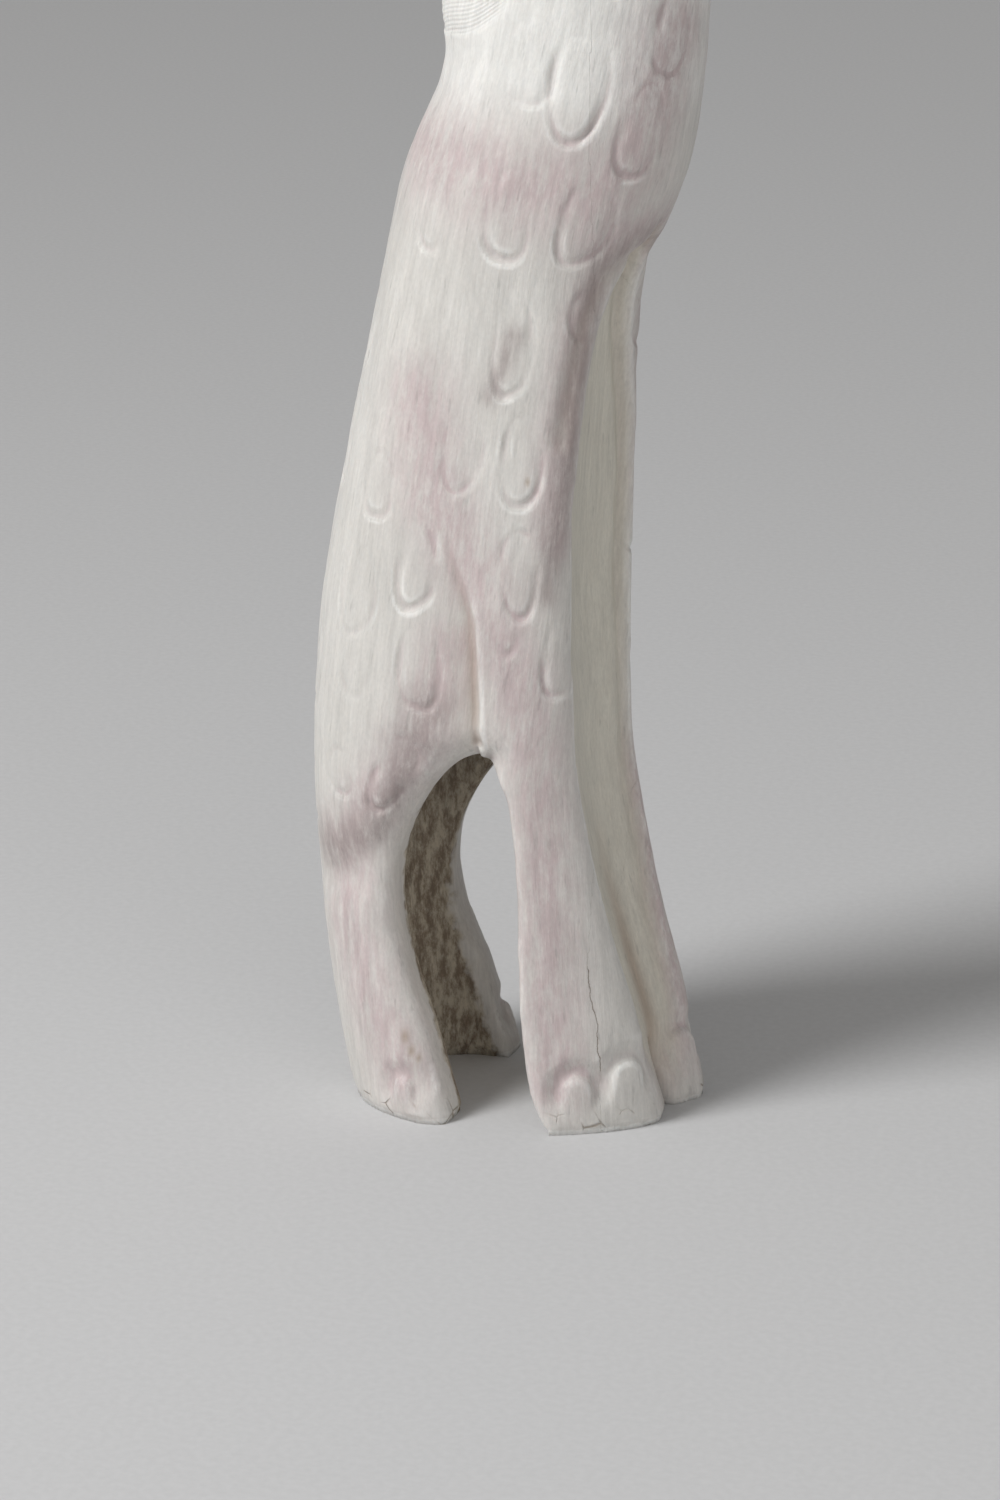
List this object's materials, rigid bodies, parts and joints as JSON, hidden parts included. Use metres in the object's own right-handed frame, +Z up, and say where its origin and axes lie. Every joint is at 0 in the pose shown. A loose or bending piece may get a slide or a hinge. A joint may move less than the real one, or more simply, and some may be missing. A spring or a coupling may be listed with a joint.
{
  "type": "carved bone giraffe statue",
  "caption": "Standing giraffe carved from one hollow leg bone, with engraved spots, cloven feet, a channelled front and a pegged head.",
  "frame": {"origin": "on the ground, under the middle of the statue's overall box", "axes": "+X the way the giraffe faces, +Y its left side, +Z up along the legs and neck"},
  "size_m": [0.0852, 0.041, 0.2595],
  "materials": {
    "bone": "polished bleached bone with mauve stains and fine grain",
    "bone_peg": "plain sawn bone",
    "eye": "polished dark inlay"
  },
  "bodies": {
    "root": {"carved_body": "bone", "head": "bone", "tail": "bone", "neck_dowel": "bone_peg", "right_ear": "bone", "left_ear": "bone", "right_horn": "bone", "left_horn": "bone", "right_eye": "eye", "left_eye": "eye"}
  },
  "joints": []
}
